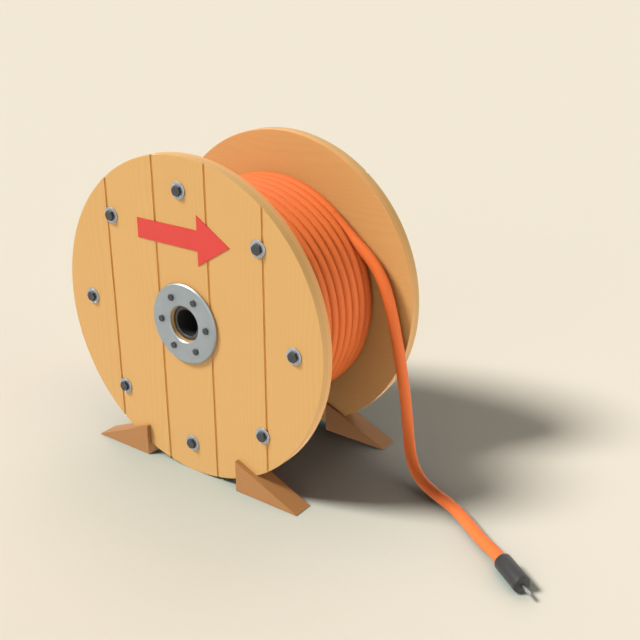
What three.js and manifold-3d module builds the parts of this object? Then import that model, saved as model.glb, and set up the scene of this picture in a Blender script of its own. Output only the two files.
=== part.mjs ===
// Wooden cable drum on four chocks, millimetres, +Z up.
// The drum's axis runs along Y, with the front flange at -Y, and the cable leaves towards +X.
// Origin: on the floor, under the middle of the drum.
import * as THREE from 'three';
import { mergeVertices } from 'three/addons/utils/BufferGeometryUtils.js';
import Module from 'manifold-3d';

const wasm = await Module();
wasm.setup();

// ---- Driving dimensions ----
const flangeDiameter = 630;
const flangeSides = 72;
const barrelSides = 40;
const boreSides = 32;
const holeSides = 8;
const insideWidth = 265.2;
const boardThickness = 14;
const liningThickness = 12.4;
const boardsPerFlange = 5;
const grooveWidth = 5.5;
const grooveDepth = 3;
const grooveRimMargin = 3.5;

const coachScrews = 8;
const screwCircleShare = 0.803;
const screwHeadWidth = 18;
const screwHeadHeight = 6;
const screwHeadChamfer = 1;
const screwShankDiameter = 10;
const screwLength = 22;
const screwTipLength = 6;
const washerDiameter = 32.5;
const washerThickness = 2;

const hubPlateDiameter = 158;
const hubPlateThickness = 3.3;
const hubPlateEdgeRadius = 2;
const packingDiameter = 156;
const packingThickness = 3.2;
const hubScrews = 6;
const hubScrewCircleRadius = 55.5;
const hubScrewHeadDiameter = 13.5;
const hubScrewHeadHeight = 3;

const axleTubeDiameter = 68;
const axleTubeWall = 8;
const axleTubeRecess = 3;
const plateHoleMargin = 0.5;

const barrelDiameter = 304;
const barrelWall = 16;

const cableDiameter = 22.5;
const windingLayers = 4;
const departureAngle = 50;
const cableSides = 10;
const cableSteps = 44;

const capDiameter = 32;
const capLength = 69;
const capEdgeRadius = 4;
const capSocketDepth = 14;
const conductorDiameter = 5.5;
const conductorReach = 22;
const conductorSocketDepth = 10;
const capOut = 489.2;
const capIn = 202.1;
const capHeading = -35.9;

const chockLength = 145.5;
const chockHeight = 65;
const chockShare = 0.37;
const chockOuterOverhang = 9.8;
const chockInnerOverhang = 6;
const chockNose = 1.5;

const arrowTail = -109;
const arrowHeadStart = 40;
const arrowTip = 115.5;
const arrowShaftWidth = 38.5;
const arrowHeadWidth = 94.5;
const arrowHeight = 167.6;
const arrowThickness = 1.5;

const fitGap = 0.3;
const slotGap = 0.6;
const floorGap = 0.1;

// ---- Worked-out places ----
// The corner radius of a hole whose flat sides clear a round piece by the fitting gap.
function roundHole(radius, sides) {
  return (radius + fitGap) / Math.cos(Math.PI / sides);
}

const flangeRadius = flangeDiameter / 2;
const flangeThickness = boardThickness + liningThickness;
const axleHeight = flangeRadius * Math.cos(Math.PI / flangeSides);
const insideEnd = insideWidth / 2;
const outsideEnd = insideEnd + flangeThickness;
const boardWidth = flangeDiameter / boardsPerFlange;
const screwCircleRadius = flangeRadius * screwCircleShare;
const chockDistance = flangeRadius * chockShare;
const boreRadius = roundHole(axleTubeDiameter / 2, boreSides);
const shankHoleRadius = roundHole(screwShankDiameter / 2, holeSides);
const cableRadius = cableDiameter / 2;
const turns = Math.floor((insideWidth - 2 * fitGap) / cableDiameter);
const windingWidth = turns * cableDiameter;
const layerRise = cableDiameter * Math.sin(Math.PI / 3);
const firstLayerRadius = barrelDiameter / 2 + fitGap + cableRadius;
const lastLayerRadius = firstLayerRadius + (windingLayers - 1) * layerRise;
const lastTurnY = windingWidth / 2 - cableRadius;

// ---- Finishes ----
const finish = (color, roughness, metalness = 0) =>
  new THREE.MeshStandardMaterial({ color, roughness, metalness });
const boardWood = finish(0xe5b270, 0.6);
const liningWood = finish(0xd79b5c, 0.65);
const barrelWood = finish(0xc08a50, 0.7);
const chockWood = finish(0xb88554, 0.65);
const sheath = finish(0xee7a44, 0.45);
const capRubber = finish(0x4e4d50, 0.5);
const screwSteel = finish(0x3c3e41, 0.4, 0.7);
const washerSteel = finish(0x969ba5, 0.35, 0.8);
const plateSteel = finish(0xa0a5a2, 0.4, 0.6);
const tubeSteel = finish(0x55585b, 0.45, 0.7);
const conductorMetal = finish(0xb4b8b8, 0.3, 0.9);
const arrowPaint = finish(0xe5534b, 0.5);

// ---- Solids: joining, cutting and placing ----
const drum = new THREE.Group();

function solid(geometry) {
  const bare = geometry.index ? geometry.toNonIndexed() : geometry.clone();
  bare.deleteAttribute('normal');
  bare.deleteAttribute('uv');
  const merged = mergeVertices(bare, 1e-4);
  const vertProperties = new Float32Array(merged.attributes.position.array);
  const triVerts = new Uint32Array(merged.index.array);
  return new wasm.Manifold(new wasm.Mesh({ numProp: 3, vertProperties, triVerts }));
}

function geometryOf(manifold) {
  const mesh = manifold.getMesh();
  const geometry = new THREE.BufferGeometry();
  geometry.setAttribute('position', new THREE.BufferAttribute(mesh.vertProperties, 3));
  geometry.setIndex(new THREE.BufferAttribute(mesh.triVerts, 1));
  geometry.computeVertexNormals();
  return geometry;
}

function add(name, geometry, material) {
  const mesh = new THREE.Mesh(geometry, material);
  mesh.name = name;
  drum.add(mesh);
  return mesh;
}

// A box between two corners.
function block(low, high) {
  const size = new THREE.Vector3().subVectors(high, low);
  const middle = new THREE.Vector3().addVectors(low, high).multiplyScalar(0.5);
  return new THREE.BoxGeometry(size.x, size.y, size.z).translate(middle.x, middle.y, middle.z);
}

// An outline in X and Z, extruded along Y from yLow to yHigh.
function slab(outline, yLow, yHigh) {
  const geometry = new THREE.ExtrudeGeometry(outline, { depth: yHigh - yLow, bevelEnabled: false });
  return geometry.rotateX(Math.PI / 2).translate(0, yHigh, 0);
}

// A regular outline round the origin. It stands on a flat side.
function ringOfPoints(radius, sides) {
  const points = [];
  for (let i = 0; i < sides; i += 1) {
    const angle = -Math.PI / 2 + ((i + 0.5) / sides) * 2 * Math.PI;
    points.push(new THREE.Vector2(radius * Math.cos(angle), radius * Math.sin(angle)));
  }
  return points;
}

function roundSlab(radius, sides, yLow, yHigh) {
  return slab(new THREE.Shape(ringOfPoints(radius, sides)), yLow, yHigh).translate(0, 0, axleHeight);
}

// A closed profile of [radius, y] corners, turned about the drum's axis.
function turned(profile, sides) {
  const corners = profile.map(([radius, y]) => new THREE.Vector2(radius, y));
  corners.push(corners[0].clone());
  return new THREE.LatheGeometry(corners, sides).translate(0, 0, axleHeight);
}

// Places on a circle round the drum's axis, the first one straight up.
function circlePlaces(radius, count, firstAngle) {
  const places = [];
  for (let i = 0; i < count; i += 1) {
    const angle = firstAngle - (i / count) * 2 * Math.PI;
    places.push({ x: radius * Math.cos(angle), z: axleHeight + radius * Math.sin(angle) });
  }
  return places;
}

const screwPlaces = circlePlaces(screwCircleRadius, coachScrews, Math.PI / 2);
const hubScrewPlaces = circlePlaces(hubScrewCircleRadius, hubScrews, 0);

// side is -1 at the front flange and +1 at the rear one. Depth counts inwards from the outer face.
const atDepth = (side, depth) => side * (outsideEnd - depth);

function betweenDepths(side, depthA, depthB) {
  const yA = atDepth(side, depthA);
  const yB = atDepth(side, depthB);
  return [Math.min(yA, yB), Math.max(yA, yB)];
}

// ---- Flanges: five boards outside, a round lining inside ----
const shankHoleDepth = screwLength + fitGap * 2;

function drilledDisc(side, depthA, depthB) {
  const [yLow, yHigh] = betweenDepths(side, depthA, depthB);
  let disc = solid(roundSlab(flangeRadius, flangeSides, yLow, yHigh));
  const bore = roundSlab(boreRadius, boreSides, yLow - 1, yHigh + 1);
  disc = disc.subtract(solid(bore));
  const [holeLow, holeHigh] = betweenDepths(side, -1, shankHoleDepth);
  for (const place of screwPlaces) {
    const hole = slab(new THREE.Shape(ringOfPoints(shankHoleRadius, holeSides)), holeLow, holeHigh);
    disc = disc.subtract(solid(hole.translate(place.x, 0, place.z)));
  }
  return disc;
}

// How far a groove runs above and below the axle before it stops short of the rim.
const grooveReach = (out) => Math.sqrt((flangeRadius - grooveRimMargin) ** 2 - out ** 2);

function boardLayer(side, label) {
  const layer = drilledDisc(side, 0, boardThickness);
  const [yLow, yHigh] = betweenDepths(side, -1, boardThickness + 1);
  const [grooveLow, grooveHigh] = betweenDepths(side, -1, grooveDepth);
  for (let i = 0; i < boardsPerFlange; i += 1) {
    const left = -flangeRadius + i * boardWidth;
    const right = left + boardWidth;
    const cutLeft = i === 0 ? left - 1 : left;
    const cutRight = i === boardsPerFlange - 1 ? right + 1 : right;
    const strip = block(
      new THREE.Vector3(cutLeft, yLow, -1),
      new THREE.Vector3(cutRight, yHigh, flangeDiameter + 1),
    );
    let board = layer.intersect(solid(strip));
    for (const joint of [left, right].filter((x) => Math.abs(x) < flangeRadius - 1)) {
      const reach = grooveReach(Math.abs(joint) + grooveWidth / 2);
      const groove = block(
        new THREE.Vector3(joint - grooveWidth / 2, grooveLow, axleHeight - reach),
        new THREE.Vector3(joint + grooveWidth / 2, grooveHigh, axleHeight + reach),
      );
      board = board.subtract(solid(groove));
    }
    add(`${label}_board_${i + 1}`, geometryOf(board), boardWood);
  }
}

for (const [side, label] of [[-1, 'front'], [1, 'rear']]) {
  boardLayer(side, label);
  const lining = drilledDisc(side, boardThickness, flangeThickness);
  add(`${label}_lining`, geometryOf(lining), liningWood);
}

// ---- Coach screws with their washers ----
function coachScrew() {
  const headSpread = screwHeadWidth / Math.sqrt(3);
  const corners = ringOfPoints(headSpread - screwHeadChamfer, 6);
  const head = new THREE.ExtrudeGeometry(new THREE.Shape(corners), {
    depth: screwHeadHeight - screwHeadChamfer,
    bevelEnabled: true,
    bevelSegments: 1,
    bevelSize: screwHeadChamfer,
    bevelThickness: screwHeadChamfer,
  });
  const below = block(
    new THREE.Vector3(-headSpread * 2, -headSpread * 2, -screwHeadHeight),
    new THREE.Vector3(headSpread * 2, headSpread * 2, 0),
  );
  const radius = screwShankDiameter / 2;
  const shankEnd = screwLength + washerThickness;
  const shankProfile = [
    new THREE.Vector2(0, -shankEnd),
    new THREE.Vector2(radius * 0.4, -shankEnd),
    new THREE.Vector2(radius, -shankEnd + screwTipLength),
    new THREE.Vector2(radius, 1),
    new THREE.Vector2(0, 1),
  ];
  const shank = new THREE.LatheGeometry(shankProfile, holeSides).rotateX(Math.PI / 2);
  return geometryOf(solid(head).subtract(solid(below)).add(solid(shank)));
}

function washer() {
  const outline = new THREE.Shape(ringOfPoints(washerDiameter / 2, 18));
  outline.holes.push(new THREE.Path(ringOfPoints(shankHoleRadius, holeSides)));
  return new THREE.ExtrudeGeometry(outline, { depth: washerThickness, bevelEnabled: false });
}

const screwGeometry = coachScrew();
const washerGeometry = washer();
for (const [side, label] of [[-1, 'front'], [1, 'rear']]) {
  const turn = (-side * Math.PI) / 2;
  screwPlaces.forEach((place, i) => {
    const disc = add(`${label}_washer_${i + 1}`, washerGeometry, washerSteel);
    disc.position.set(place.x, atDepth(side, 0), place.z);
    disc.rotation.x = turn;
    const screw = add(`${label}_coach_screw_${i + 1}`, screwGeometry, screwSteel);
    screw.position.set(place.x, atDepth(side, -washerThickness), place.z);
    screw.rotation.x = turn;
  });
}

// ---- Hub plates, each on its packing ring and with six screw heads, and the axle tube ----
const plateBore = boreRadius + plateHoleMargin;

function hubPacking(side) {
  const outer = packingDiameter / 2;
  const [yLow, yHigh] = betweenDepths(side, 0, -packingThickness);
  return turned([[plateBore, yLow], [outer, yLow], [outer, yHigh], [plateBore, yHigh]], 40);
}

function hubPlate(side) {
  const inner = plateBore;
  const outer = hubPlateDiameter / 2;
  const edge = hubPlateEdgeRadius;
  const topDepth = -(packingThickness + hubPlateThickness);
  const face = atDepth(side, -packingThickness);
  const top = atDepth(side, topDepth);
  const shoulder = atDepth(side, topDepth + edge);
  const profile = [
    [inner, face],
    [outer, face],
    [outer, shoulder],
    [outer - edge, top],
    [inner + edge, top],
    [inner, shoulder],
  ];
  if (side < 0) profile.reverse();
  let plate = solid(turned(profile, 40));
  const [headLow, headHigh] = betweenDepths(side, -packingThickness - 1, topDepth - hubScrewHeadHeight);
  for (const place of hubScrewPlaces) {
    const head = slab(new THREE.Shape(ringOfPoints(hubScrewHeadDiameter / 2, 12)), headLow, headHigh);
    plate = plate.add(solid(head.translate(place.x, 0, place.z)));
  }
  return geometryOf(plate);
}

for (const [side, label] of [[-1, 'front'], [1, 'rear']]) {
  add(`${label}_hub_packing`, hubPacking(side), boardWood);
  add(`${label}_hub_plate`, hubPlate(side), plateSteel);
}

function tubeProfile(outerRadius, wall, end) {
  return [
    [outerRadius - wall, -end],
    [outerRadius, -end],
    [outerRadius, end],
    [outerRadius - wall, end],
  ];
}

const axleTubeEnd = outsideEnd - axleTubeRecess;
add('axle_tube', turned(tubeProfile(axleTubeDiameter / 2, axleTubeWall, axleTubeEnd), boreSides), tubeSteel);
add('barrel', turned(tubeProfile(barrelDiameter / 2, barrelWall, insideEnd), barrelSides), barrelWood);

// ---- The free cable's route, from where it leaves the winding to the cap ----
const departure = THREE.MathUtils.degToRad(departureAngle);
const leaving = new THREE.Vector3(Math.sin(departure), 0, -Math.cos(departure));
const exitPoint = new THREE.Vector3(
  lastLayerRadius * Math.cos(departure),
  lastTurnY,
  axleHeight + lastLayerRadius * Math.sin(departure),
);
const lyingHeight = cableRadius + floorGap;
const capHeight = capDiameter / 2 + floorGap;
const capTurn = THREE.MathUtils.degToRad(capHeading);
const capDirection = new THREE.Vector3(Math.cos(capTurn), Math.sin(capTurn), 0);
const capStart = new THREE.Vector3(exitPoint.x + capOut, lastTurnY - capIn, capHeight);

// Hanging: how far out from the exit, how far in from the last turn, and what share of the
// exit's height.
const wayDown = [
  [76.3, 0, 0.8695],
  [93.6, 0, 0.8363],
  [108.1, 0, 0.7983],
  [119.6, 0, 0.7567],
  [128.5, 0, 0.7121],
  [135.7, 0, 0.6667],
  [142, 0, 0.6197],
  [147.8, 0, 0.5724],
  [153.3, 0, 0.525],
  [158.5, 0, 0.4763],
  [163.3, 0, 0.4266],
  [167.9, 0, 0.3765],
  [172.5, 0.1, 0.3259],
  [177.4, 1.2, 0.2764],
  [183, 4.6, 0.2286],
  [189.9, 10.8, 0.1838],
  [198.5, 20.5, 0.143],
  [209.5, 32.6, 0.1069],
  [223.6, 45.9, 0.0759],
  [241.8, 58.7, 0.0505],
  [263.3, 69.6, 0.0326],
];
// Lying: how far out, how far in, and how far it is lifted towards the cap.
const wayAlongFloor = [
  [287.7, 78.4, 0],
  [314.3, 90.2, 0],
  [340.4, 102.1, 0],
  [365.9, 116.8, 0],
  [390.7, 133.9, 0],
  [414.6, 150.9, 0],
  [437.7, 167.1, 0.6],
  [461.3, 182.5, 3.3],
];

const route = [
  exitPoint,
  exitPoint.clone().addScaledVector(leaving, 28),
  exitPoint.clone().addScaledVector(leaving, 57),
];
for (const [out, across, share] of wayDown) {
  route.push(new THREE.Vector3(exitPoint.x + out, lastTurnY - across, exitPoint.z * share));
}
for (const [out, across, lift] of wayAlongFloor) {
  route.push(new THREE.Vector3(exitPoint.x + out, lastTurnY - across, lyingHeight + lift));
}
route.push(capStart.clone().addScaledVector(capDirection, -6));
route.push(capStart.clone().addScaledVector(capDirection, capSocketDepth - fitGap));

function alongRoute(points, radius, steps) {
  return new THREE.ExtrudeGeometry(new THREE.Shape(ringOfPoints(radius, cableSides)), {
    steps,
    bevelEnabled: false,
    extrudePath: new THREE.CatmullRomCurve3(points, false, 'centripetal'),
  });
}

add('free_cable', alongRoute(route, cableRadius, cableSteps), sheath);

// ---- Cable winding: close turns outside and at the ends, bored for the barrel ----
function windingProfile() {
  const bore = barrelDiameter / 2 + fitGap;
  const flat = cableRadius * 0.5;
  const notch = cableRadius * 0.35;
  const shoulders = [-60, -20, 20, 60].map(THREE.MathUtils.degToRad);
  const end = windingWidth / 2;
  const lowEnd = [];
  for (let layer = 0; layer < windingLayers; layer += 1) {
    const radius = firstLayerRadius + layer * layerRise;
    lowEnd.push([radius - flat, -end], [radius + flat, -end]);
    if (layer < windingLayers - 1) lowEnd.push([radius + layerRise / 2, -end + notch]);
  }
  const outside = [];
  for (let turn = 0; turn < turns; turn += 1) {
    const middle = -end + (turn + 0.5) * cableDiameter;
    for (const angle of shoulders) {
      const radius = lastLayerRadius + cableRadius * Math.cos(angle);
      outside.push([radius, middle + cableRadius * Math.sin(angle)]);
    }
  }
  const highEnd = lowEnd.map(([radius, y]) => [radius, -y]).reverse();
  return [[bore, -end], ...lowEnd, ...outside, ...highEnd, [bore, end]];
}

const seatPoints = [exitPoint.clone().addScaledVector(leaving, -fitGap), ...route.slice(0, 8)];
const cableSeat = alongRoute(seatPoints, cableRadius + slotGap, 24);
const winding = solid(turned(windingProfile(), barrelSides)).subtract(solid(cableSeat));
add('cable_winding', geometryOf(winding), sheath);

// ---- Cap and conductor on the free end ----
// A closed profile of [radius, distance] corners, turned about the cap's axis.
function turnedOnCap(profile, sides) {
  const corners = profile.map(([radius, distance]) => new THREE.Vector2(radius, distance));
  const geometry = new THREE.LatheGeometry(corners, sides);
  const towards = new THREE.Quaternion().setFromUnitVectors(new THREE.Vector3(0, 1, 0), capDirection);
  return geometry.applyQuaternion(towards).translate(capStart.x, capStart.y, capStart.z);
}

const capRadius = capDiameter / 2;
const capCorner = capEdgeRadius * (1 - Math.SQRT1_2);
const capSocketRadius = cableRadius + fitGap;
const conductorSocketRadius = conductorDiameter / 2 + fitGap;
const capProfile = [
  [0, capSocketDepth],
  [capSocketRadius, capSocketDepth],
  [capSocketRadius, 0],
  [capRadius - capEdgeRadius, 0],
  [capRadius - capCorner, capCorner],
  [capRadius, capEdgeRadius],
  [capRadius, capLength - capEdgeRadius],
  [capRadius - capCorner, capLength - capCorner],
  [capRadius - capEdgeRadius, capLength],
  [conductorSocketRadius, capLength],
  [conductorSocketRadius, capLength - conductorSocketDepth],
  [0, capLength - conductorSocketDepth],
];
add('cable_end_cap', turnedOnCap(capProfile, 20), capRubber);

const conductorRadius = conductorDiameter / 2;
const conductorProfile = [
  [0, capLength - conductorSocketDepth + fitGap],
  [conductorRadius, capLength - conductorSocketDepth + fitGap],
  [conductorRadius, capLength + conductorReach - 1],
  [conductorRadius - 1, capLength + conductorReach],
  [0, capLength + conductorReach],
];
add('conductor', turnedOnCap(conductorProfile, 12), conductorMetal);

// ---- Chocks: wedges with a curved slot that the flange's rim stands in ----
function chock(side, hand) {
  const near = hand * chockDistance;
  const far = hand * (chockDistance + chockLength);
  const outline = new THREE.Shape();
  outline.moveTo(near, 0);
  outline.lineTo(far, 0);
  outline.lineTo(far, chockNose);
  outline.lineTo(near, chockHeight);
  outline.closePath();
  const [low, high] = betweenDepths(side, -chockOuterOverhang, flangeThickness + chockInnerOverhang);
  const [slotLow, slotHigh] = betweenDepths(side, -slotGap, flangeThickness + slotGap);
  const rim = roundSlab(flangeRadius + slotGap, flangeSides, slotLow, slotHigh);
  return geometryOf(solid(slab(outline, low, high)).subtract(solid(rim)));
}

for (const [side, label] of [[-1, 'front'], [1, 'rear']]) {
  add(`${label}_left_chock`, chock(side, -1), chockWood);
  add(`${label}_right_chock`, chock(side, 1), chockWood);
}

// ---- Direction arrow on the front flange ----
const arrowOutline = new THREE.Shape([
  new THREE.Vector2(arrowTail, -arrowShaftWidth / 2),
  new THREE.Vector2(arrowHeadStart, -arrowShaftWidth / 2),
  new THREE.Vector2(arrowHeadStart, -arrowHeadWidth / 2),
  new THREE.Vector2(arrowTip, 0),
  new THREE.Vector2(arrowHeadStart, arrowHeadWidth / 2),
  new THREE.Vector2(arrowHeadStart, arrowShaftWidth / 2),
  new THREE.Vector2(arrowTail, arrowShaftWidth / 2),
]);
const [arrowLow, arrowHigh] = betweenDepths(-1, -arrowThickness, 0);
const arrow = slab(arrowOutline, arrowLow, arrowHigh).translate(0, 0, axleHeight + arrowHeight);
add('direction_arrow', arrow, arrowPaint);

export default drum;
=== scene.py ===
import math

import bmesh
import bpy
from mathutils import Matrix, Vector


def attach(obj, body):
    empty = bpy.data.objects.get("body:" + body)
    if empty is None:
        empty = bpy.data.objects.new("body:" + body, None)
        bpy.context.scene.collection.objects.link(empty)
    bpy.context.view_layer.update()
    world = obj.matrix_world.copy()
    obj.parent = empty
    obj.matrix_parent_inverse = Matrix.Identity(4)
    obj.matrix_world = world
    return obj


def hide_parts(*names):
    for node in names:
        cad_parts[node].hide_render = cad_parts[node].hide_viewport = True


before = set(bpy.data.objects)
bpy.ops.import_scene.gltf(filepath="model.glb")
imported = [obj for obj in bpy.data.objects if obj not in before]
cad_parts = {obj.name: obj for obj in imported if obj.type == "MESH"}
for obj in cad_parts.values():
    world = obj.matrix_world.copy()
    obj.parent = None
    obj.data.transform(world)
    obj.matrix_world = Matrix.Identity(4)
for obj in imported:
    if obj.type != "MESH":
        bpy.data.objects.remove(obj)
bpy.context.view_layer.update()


# ---- Camera ----
# It stands in front of the drum and to its right, above the top of the flanges, and looks
# down at the hub. The whole drum and the full run of the free cable are in view.
looks_down = 0.3875
looks_left = 0.6251


def stand(name, data):
    """An object for the data, linked into the scene."""
    thing = bpy.data.objects.new(name, data)
    bpy.context.scene.collection.objects.link(thing)
    return thing


camera = stand("camera", bpy.data.cameras.new("camera"))
camera.location = (1.1367, -1.3081, 0.9736)
camera.rotation_euler = (math.pi / 2 - looks_down, 0, looks_left)
camera.data.lens = 52.26
camera.data.sensor_width = 36
bpy.context.scene.camera = camera


# ---- Free cable ----
# The outer end of the cable, with an orange sheath 22.5 mm thick. It leaves the last turn of
# the winding, hangs down past the rear flange in one stiff bend and lies out on the floor.
axle_height = 0.3147
cable_diameter = 0.0225
cable_radius = cable_diameter / 2
last_layer_radius = 0.2220
last_turn_y = 0.1125
floor_gap = 0.0001
departure = math.radians(50)
leaving = Vector((math.sin(departure), 0, -math.cos(departure)))
cable_exit = Vector((
    last_layer_radius * math.cos(departure),
    last_turn_y,
    axle_height + last_layer_radius * math.sin(departure),
))
cap_radius = 0.016
cap_turn = math.radians(-35.9)
cap_direction = Vector((math.cos(cap_turn), math.sin(cap_turn), 0))
cap_start = Vector((cable_exit.x + 0.4892, last_turn_y - 0.2021, cap_radius + floor_gap))
bare_before_cap = 0.006
hidden_in_cap = 0.0137

# Leaving: how far along the straight line that touches the last turn.
way_out = [0, 0.028, 0.057]
# Hanging: how far out from the exit, how far in from the last turn, and what share of the
# exit's height.
way_down = [
    (0.0763, 0, 0.8695),
    (0.0936, 0, 0.8363),
    (0.1081, 0, 0.7983),
    (0.1196, 0, 0.7567),
    (0.1285, 0, 0.7121),
    (0.1357, 0, 0.6667),
    (0.1420, 0, 0.6197),
    (0.1478, 0, 0.5724),
    (0.1533, 0, 0.5250),
    (0.1585, 0, 0.4763),
    (0.1633, 0, 0.4266),
    (0.1679, 0, 0.3765),
    (0.1725, 0.0001, 0.3259),
    (0.1774, 0.0012, 0.2764),
    (0.1830, 0.0046, 0.2286),
    (0.1899, 0.0108, 0.1838),
    (0.1985, 0.0205, 0.1430),
    (0.2095, 0.0326, 0.1069),
    (0.2236, 0.0459, 0.0759),
    (0.2418, 0.0587, 0.0505),
    (0.2633, 0.0696, 0.0326),
]
# Lying: how far out, how far in, and how far it is lifted towards the cap.
way_along_floor = [
    (0.2877, 0.0784, 0),
    (0.3143, 0.0902, 0),
    (0.3404, 0.1021, 0),
    (0.3659, 0.1168, 0),
    (0.3907, 0.1339, 0),
    (0.4146, 0.1509, 0),
    (0.4377, 0.1671, 0.0006),
    (0.4613, 0.1825, 0.0033),
]
cable_route = [cable_exit + leaving * straight for straight in way_out]
for out, across, share in way_down:
    cable_route.append(Vector((cable_exit.x + out, last_turn_y - across, cable_exit.z * share)))
for out, across, lift in way_along_floor:
    height = cable_radius + floor_gap + lift
    cable_route.append(Vector((cable_exit.x + out, last_turn_y - across, height)))
cable_route.append(cap_start - cap_direction * bare_before_cap)
cable_route.append(cap_start + cap_direction * hidden_in_cap)


def new_material(name):
    """A node material, its tree and its Principled shader."""
    material = bpy.data.materials.new(name)
    material.use_nodes = True
    tree = material.node_tree
    return material, tree, tree.nodes["Principled BSDF"]


def new_tree(name, kind, inputs, outputs):
    """A node group, what it is given and its result. An input has its value or else its kind."""
    tree = bpy.data.node_groups.new(name, kind)
    kinds = {float: "Float", int: "Int", tuple: "Color"}
    for label, value in inputs.items():
        said = "NodeSocket" + kinds.get(type(value), str(value))
        socket = tree.interface.new_socket(label, in_out="INPUT", socket_type=said)
        if type(value) in kinds:
            socket.default_value = value
    for label, value in outputs.items():
        tree.interface.new_socket(label, in_out="OUTPUT", socket_type="NodeSocket" + value)
    given = tree.nodes.new("NodeGroupInput")
    result = tree.nodes.new("NodeGroupOutput")
    return tree, given.outputs, result.inputs


def add_node(tree, kind, inputs=None, **settings):
    """A node of that kind, with its settings, and its inputs linked or set by name or number."""
    node = tree.nodes.new(kind)
    for key, value in settings.items():
        setattr(node, key, value)
    for key, value in (inputs or {}).items():
        if isinstance(value, bpy.types.NodeSocket):
            tree.links.new(value, node.inputs[key])
        else:
            node.inputs[key].default_value = value
    return node


def maths(tree, operation, *values):
    """The result of one Math node."""
    return add_node(tree, "ShaderNodeMath", dict(enumerate(values)), operation=operation).outputs[0]


def noise(tree, place, scale, detail=2.0):
    """Noise from 0 to 1 at that place."""
    return add_node(tree, "ShaderNodeTexNoise", {
        "Vector": place, "Scale": scale, "Detail": detail,
    }).outputs["Fac"]


def spread(tree, value, low, high):
    """A value from 0 to 1 spread from low to high."""
    return add_node(tree, "ShaderNodeMapRange", {"Value": value, 3: low, 4: high}).outputs[0]


def mixed(tree, share, first, second):
    """A colour that much of the way from the first to the second."""
    return add_node(tree, "ShaderNodeMix", {
        0: share, 6: first, 7: second,
    }, data_type="RGBA").outputs[2]


def coat(tree, shader, color, roughness, relief, strength, distance):
    """Gives the shader its colour, its roughness and a bump from the relief."""
    bump = add_node(tree, "ShaderNodeBump", {
        "Strength": strength, "Distance": distance, "Height": relief,
    })
    tree.links.new(color, shader.inputs["Base Color"])
    tree.links.new(roughness, shader.inputs["Roughness"])
    tree.links.new(bump.outputs[0], shader.inputs["Normal"])


def put_out(tree, result, geometry, material):
    """Ends a geometry tree: its geometry is made real and gets its material."""
    real = add_node(tree, "GeometryNodeRealizeInstances", {"Geometry": geometry})
    dressed = add_node(tree, "GeometryNodeSetMaterial", {
        "Geometry": real.outputs[0], "Material": material,
    })
    tree.links.new(dressed.outputs[0], result[0])


def grow(name, tree, settings, start=None):
    """The mesh that a geometry tree makes, as a plain object with no modifier left on it."""
    host = stand(name + "_host", start or bpy.data.meshes.new(name))
    modifier = host.modifiers.new(tree.name, "NODES")
    modifier.node_group = tree
    for item in tree.interface.items_tree:
        if item.item_type == "SOCKET" and item.in_out == "INPUT" and item.name in settings:
            modifier[item.identifier] = settings[item.name]
    depsgraph = bpy.context.evaluated_depsgraph_get()
    mesh = bpy.data.meshes.new_from_object(
        host.evaluated_get(depsgraph), preserve_all_data_layers=True, depsgraph=depsgraph
    )
    host.modifiers.clear()
    bpy.data.objects.remove(host)
    mesh.name = name
    return stand(name, mesh)


# The sheath: satin plastic, with faint lines along it from the die and a few dull patches. Its
# pattern follows the cable by two marks on the mesh, the length so far and the way round.
length_scale = 6.0
line_scale = 9.0
patch_scale = 1.3
cable_sheath, tree, shader = new_material("cable_sheath")
round_it = add_node(tree, "ShaderNodeAttribute", attribute_name="round_it")
along_it = add_node(tree, "ShaderNodeAttribute", attribute_name="along_it")
around = add_node(tree, "ShaderNodeSeparateXYZ", {0: round_it.outputs["Vector"]})
lay = add_node(tree, "ShaderNodeCombineXYZ", {
    "X": around.outputs["X"],
    "Y": around.outputs["Y"],
    "Z": maths(tree, "MULTIPLY", along_it.outputs["Fac"], length_scale),
}).outputs[0]
die_lines = noise(tree, lay, line_scale, detail=3.0)
patches = noise(tree, lay, patch_scale)
orange = mixed(tree, patches, (0.862, 0.176, 0.034, 1), (0.894, 0.195, 0.040, 1))
satin = spread(tree, patches, 0.56, 0.68)
coat(tree, shader, orange, satin, die_lines, strength=0.12, distance=0.0004)
shader.inputs["Specular IOR Level"].default_value = 0.30

# Any curve becomes a cable that follows it.
sheathed, given, result = new_tree("sheathed_cable", "GeometryNodeTree", {
    "Route": "Geometry",
    "Diameter": cable_diameter,
    "Sides": 20,
    "Spacing": 0.008,
    "Sheath": "Material",
}, {"Cable": "Geometry"})
steps = add_node(sheathed, "GeometryNodeResampleCurve", {
    "Curve": given["Route"], "Length": given["Spacing"],
}, mode="LENGTH")
length_so_far = add_node(sheathed, "GeometryNodeSplineParameter")
measured = add_node(sheathed, "GeometryNodeStoreNamedAttribute", {
    "Geometry": steps.outputs[0], "Name": "along_it", "Value": length_so_far.outputs["Length"],
}, data_type="FLOAT", domain="POINT")
ring = add_node(sheathed, "GeometryNodeCurvePrimitiveCircle", {
    "Resolution": given["Sides"],
    "Radius": maths(sheathed, "MULTIPLY", given["Diameter"], 0.5),
})
way_round = add_node(sheathed, "ShaderNodeVectorMath", {
    0: add_node(sheathed, "GeometryNodeInputPosition").outputs[0],
}, operation="NORMALIZE")
marked_ring = add_node(sheathed, "GeometryNodeStoreNamedAttribute", {
    "Geometry": ring.outputs["Curve"], "Name": "round_it", "Value": way_round.outputs[0],
}, data_type="FLOAT_VECTOR", domain="POINT")
tube = add_node(sheathed, "GeometryNodeCurveToMesh", {
    "Curve": measured.outputs[0],
    "Profile Curve": marked_ring.outputs[0],
    "Fill Caps": True,
})
smooth_tube = add_node(sheathed, "GeometryNodeSetShadeSmooth", {"Geometry": tube.outputs[0]})
put_out(sheathed, result, smooth_tube.outputs[0], given["Sheath"])


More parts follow.
